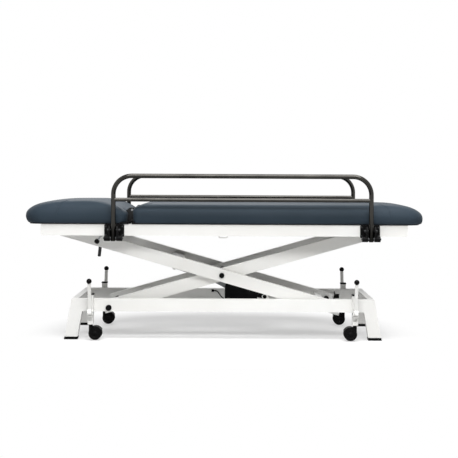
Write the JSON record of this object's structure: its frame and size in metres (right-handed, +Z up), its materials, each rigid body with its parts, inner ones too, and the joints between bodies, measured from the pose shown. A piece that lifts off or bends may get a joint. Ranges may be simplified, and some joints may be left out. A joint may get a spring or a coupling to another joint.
{
  "type": "pediatric treatment table",
  "caption": "Height-adjustable treatment table on a scissor lift, with a raising padded head section, fold-down side rails and lever-lowered castors.",
  "frame": {"origin": "on the floor under the middle of the base frame", "axes": "+X along the table from the head end to the foot end, +Y from the front side to the rear side, +Z up"},
  "size_m": [1.882, 0.691, 0.792],
  "materials": {
    "black_paint": "satin powder coat",
    "frame_paint": "gloss powder coat",
    "steel": "bright",
    "chrome": "polished",
    "vinyl": "satin vinyl",
    "board": "black laminate",
    "black_plastic": "matte",
    "gloss_black": "gloss",
    "grey_plastic": "matte",
    "tyre": "matte"
  },
  "bodies": {
    "base": {"base_frame": "frame_paint", "base_legs": "frame_paint", "foot_caps": "black_plastic", "castor_guides": "frame_paint", "guide_caps": "black_plastic", "base_pins": "steel", "base_pivot_caps": "black_plastic", "travel_stops": "black_plastic", "lead_clips": "black_plastic", "actuator_lead": "black_plastic"},
    "inner_arms": {"inner_arms": "frame_paint", "upper_axles": "steel"},
    "outer_arms": {"outer_arms": "frame_paint", "outer_arm_pins": "steel", "outer_arm_caps": "black_plastic"},
    "table_top": {"top_frame": "frame_paint", "top_pins": "steel", "rail_clamps": "black_plastic", "clamp_bolts": "steel", "hinge_posts": "black_paint", "body_board": "board", "body_cushion": "vinyl"},
    "head_section": {"head_frame": "black_paint", "head_board": "board", "head_cushion": "vinyl"},
    "gas_spring_cylinder": {"gas_cylinder": "gloss_black"},
    "gas_spring_rod": {"gas_rod": "steel"},
    "release_handle": {"release_lever": "steel", "release_knob": "gloss_black", "release_grip": "grey_plastic"},
    "actuator_drive": {"actuator_foot": "black_plastic", "actuator_motor": "black_plastic", "actuator_sleeve": "grey_plastic"},
    "actuator_rod": {"actuator_piston": "steel"},
    "side_rail_front": {"side_rail_front": "chrome"},
    "side_rail_rear": {"side_rail_rear": "chrome"},
    "lower_roller_front": {"lower_roller_front": "black_plastic"},
    "lower_roller_rear": {"lower_roller_rear": "black_plastic"},
    "upper_roller_front": {"upper_roller_front": "black_plastic"},
    "upper_roller_rear": {"upper_roller_rear": "black_plastic"},
    "castor_leg_front_left": {"castor_leg_front_left": "frame_paint"},
    "castor_hood_front_left": {"castor_hood_front_left": "black_plastic"},
    "castor_wheels_front_left": {"castor_wheels_front_left": "tyre"},
    "castor_lever_front_left": {"castor_lever_front_left": "frame_paint", "castor_knob_front_left": "gloss_black"},
    "castor_leg_front_right": {"castor_leg_front_right": "frame_paint"},
    "castor_hood_front_right": {"castor_hood_front_right": "black_plastic"},
    "castor_wheels_front_right": {"castor_wheels_front_right": "tyre"},
    "castor_lever_front_right": {"castor_lever_front_right": "frame_paint", "castor_knob_front_right": "gloss_black"},
    "castor_leg_rear_left": {"castor_leg_rear_left": "frame_paint"},
    "castor_hood_rear_left": {"castor_hood_rear_left": "black_plastic"},
    "castor_wheels_rear_left": {"castor_wheels_rear_left": "tyre"},
    "castor_lever_rear_left": {"castor_lever_rear_left": "frame_paint", "castor_knob_rear_left": "gloss_black"},
    "castor_leg_rear_right": {"castor_leg_rear_right": "frame_paint"},
    "castor_hood_rear_right": {"castor_hood_rear_right": "black_plastic"},
    "castor_wheels_rear_right": {"castor_wheels_rear_right": "tyre"},
    "castor_lever_rear_right": {"castor_lever_rear_right": "frame_paint", "castor_knob_rear_right": "gloss_black"}
  },
  "joints": [
    {"name": "lift", "type": "hinge", "parent": "base", "child": "inner_arms", "pos_m": [-0.545, 0, 0.1514], "axis": [0, -1, 0], "range_deg": [-7.3, 11.5]},
    {"name": "scissor_centre", "type": "hinge", "parent": "inner_arms", "child": "outer_arms", "pos_m": [-0.00711, 0, 0.30358], "axis": [0, -1, 0], "range_deg": [-23.21, 14.79]},
    {"name": "top_pivot", "type": "hinge", "parent": "outer_arms", "child": "table_top", "pos_m": [-0.77209, 0, 0.52], "axis": [0, -1, 0], "range_deg": [-7.5, 11.7]},
    {"name": "actuator_tilt", "type": "hinge", "parent": "base", "child": "actuator_drive", "pos_m": [0.206, 0, 0.181], "axis": [0, 1, 0], "range_deg": [-10.01, 15.6]},
    {"name": "actuator_stroke", "type": "slide", "parent": "actuator_drive", "child": "actuator_rod", "axis": [-0.9512, 0, 0.3085], "range_m": [-0.05, 0.0783]},
    {"name": "head_raise", "type": "hinge", "parent": "table_top", "child": "head_section", "pos_m": [-0.438, 0, 0.618], "axis": [0, 1, 0], "range_deg": [0, 70]},
    {"name": "gas_spring_tilt", "type": "hinge", "parent": "table_top", "child": "gas_spring_cylinder", "pos_m": [-0.48, 0, 0.499], "axis": [0, 1, 0], "range_deg": [-0.2, 61.2]},
    {"name": "gas_spring_stroke", "type": "slide", "parent": "gas_spring_cylinder", "child": "gas_spring_rod", "axis": [-0.9885, 0, 0.1514], "range_m": [-0.001, 0.1513]},
    {"name": "release_turn", "type": "hinge", "parent": "table_top", "child": "release_handle", "pos_m": [-0.553, 0, 0.53], "axis": [0, 1, 0], "range_deg": [0, 20], "stiffness_Nm_per_rad": 6, "springref_deg": -20.05},
    {"name": "side_rail_front_fold", "type": "hinge", "parent": "table_top", "child": "side_rail_front", "pos_m": [0, -0.3325, 0.49], "axis": [1, 0, 0], "range_deg": [0, 180]},
    {"name": "lower_roller_front_spin", "type": "hinge", "parent": "outer_arms", "child": "lower_roller_front", "pos_m": [0.53078, -0.2038, 0.1514], "axis": [0, 1, 0], "continuous": true},
    {"name": "upper_roller_front_spin", "type": "hinge", "parent": "inner_arms", "child": "upper_roller_front", "pos_m": [0.75786, -0.2038, 0.52], "axis": [0, 1, 0], "continuous": true},
    {"name": "side_rail_rear_fold", "type": "hinge", "parent": "table_top", "child": "side_rail_rear", "pos_m": [0, 0.3325, 0.49], "axis": [-1, 0, 0], "range_deg": [0, 180]},
    {"name": "lower_roller_rear_spin", "type": "hinge", "parent": "outer_arms", "child": "lower_roller_rear", "pos_m": [0.53078, 0.2038, 0.1514], "axis": [0, 1, 0], "continuous": true},
    {"name": "upper_roller_rear_spin", "type": "hinge", "parent": "inner_arms", "child": "upper_roller_rear", "pos_m": [0.75786, 0.2038, 0.52], "axis": [0, 1, 0], "continuous": true},
    {"name": "castor_lever_front_left_swing", "type": "hinge", "parent": "base", "child": "castor_lever_front_left", "pos_m": [-0.6275, -0.268, 0.134], "axis": [1, 0, 0], "range_deg": [0, 90]},
    {"name": "castor_leg_front_left_drop", "type": "slide", "parent": "base", "child": "castor_leg_front_left", "axis": [0, 0, -1], "range_m": [0, 0.0181]},
    {"name": "castor_hood_front_left_swivel", "type": "hinge", "parent": "castor_leg_front_left", "child": "castor_hood_front_left", "pos_m": [-0.6275, -0.24, 0.071], "axis": [0, 0, 1], "continuous": true},
    {"name": "castor_wheels_front_left_spin", "type": "hinge", "parent": "castor_hood_front_left", "child": "castor_wheels_front_left", "pos_m": [-0.6055, -0.24, 0.034], "axis": [0, 1, 0], "continuous": true},
    {"name": "castor_lever_front_right_swing", "type": "hinge", "parent": "base", "child": "castor_lever_front_right", "pos_m": [0.6275, -0.268, 0.134], "axis": [1, 0, 0], "range_deg": [0, 90]},
    {"name": "castor_leg_front_right_drop", "type": "slide", "parent": "base", "child": "castor_leg_front_right", "axis": [0, 0, -1], "range_m": [0, 0.0181]},
    {"name": "castor_hood_front_right_swivel", "type": "hinge", "parent": "castor_leg_front_right", "child": "castor_hood_front_right", "pos_m": [0.6275, -0.24, 0.071], "axis": [0, 0, 1], "continuous": true},
    {"name": "castor_wheels_front_right_spin", "type": "hinge", "parent": "castor_hood_front_right", "child": "castor_wheels_front_right", "pos_m": [0.6055, -0.24, 0.034], "axis": [0, 1, 0], "continuous": true},
    {"name": "castor_lever_rear_left_swing", "type": "hinge", "parent": "base", "child": "castor_lever_rear_left", "pos_m": [-0.6275, 0.268, 0.134], "axis": [-1, 0, 0], "range_deg": [0, 90]},
    {"name": "castor_leg_rear_left_drop", "type": "slide", "parent": "base", "child": "castor_leg_rear_left", "axis": [0, 0, -1], "range_m": [0, 0.0181]},
    {"name": "castor_hood_rear_left_swivel", "type": "hinge", "parent": "castor_leg_rear_left", "child": "castor_hood_rear_left", "pos_m": [-0.6275, 0.24, 0.071], "axis": [0, 0, 1], "continuous": true},
    {"name": "castor_wheels_rear_left_spin", "type": "hinge", "parent": "castor_hood_rear_left", "child": "castor_wheels_rear_left", "pos_m": [-0.6055, 0.24, 0.034], "axis": [0, 1, 0], "continuous": true},
    {"name": "castor_lever_rear_right_swing", "type": "hinge", "parent": "base", "child": "castor_lever_rear_right", "pos_m": [0.6275, 0.268, 0.134], "axis": [-1, 0, 0], "range_deg": [0, 90]},
    {"name": "castor_leg_rear_right_drop", "type": "slide", "parent": "base", "child": "castor_leg_rear_right", "axis": [0, 0, -1], "range_m": [0, 0.0181]},
    {"name": "castor_hood_rear_right_swivel", "type": "hinge", "parent": "castor_leg_rear_right", "child": "castor_hood_rear_right", "pos_m": [0.6275, 0.24, 0.071], "axis": [0, 0, 1], "continuous": true},
    {"name": "castor_wheels_rear_right_spin", "type": "hinge", "parent": "castor_hood_rear_right", "child": "castor_wheels_rear_right", "pos_m": [0.6055, 0.24, 0.034], "axis": [0, 1, 0], "continuous": true}
  ],
  "couplings": [
    {"joint": "scissor_centre", "follows": "lift", "ratio": -2},
    {"joint": "top_pivot", "follows": "lift", "ratio": 1},
    {"joint": "actuator_tilt", "follows": "lift", "ratio": 1.33},
    {"joint": "actuator_stroke", "follows": "lift", "m_per_rad": 0.385},
    {"joint": "gas_spring_tilt", "follows": "head_raise", "ratio": 0.87},
    {"joint": "gas_spring_stroke", "follows": "head_raise", "m_per_rad": 0.123},
    {"joint": "castor_leg_front_left_drop", "follows": "castor_lever_front_left_swing", "m_per_rad": 0.011459},
    {"joint": "castor_leg_front_right_drop", "follows": "castor_lever_front_right_swing", "m_per_rad": 0.011459},
    {"joint": "castor_leg_rear_left_drop", "follows": "castor_lever_rear_left_swing", "m_per_rad": 0.011459},
    {"joint": "castor_leg_rear_right_drop", "follows": "castor_lever_rear_right_swing", "m_per_rad": 0.011459}
  ]
}
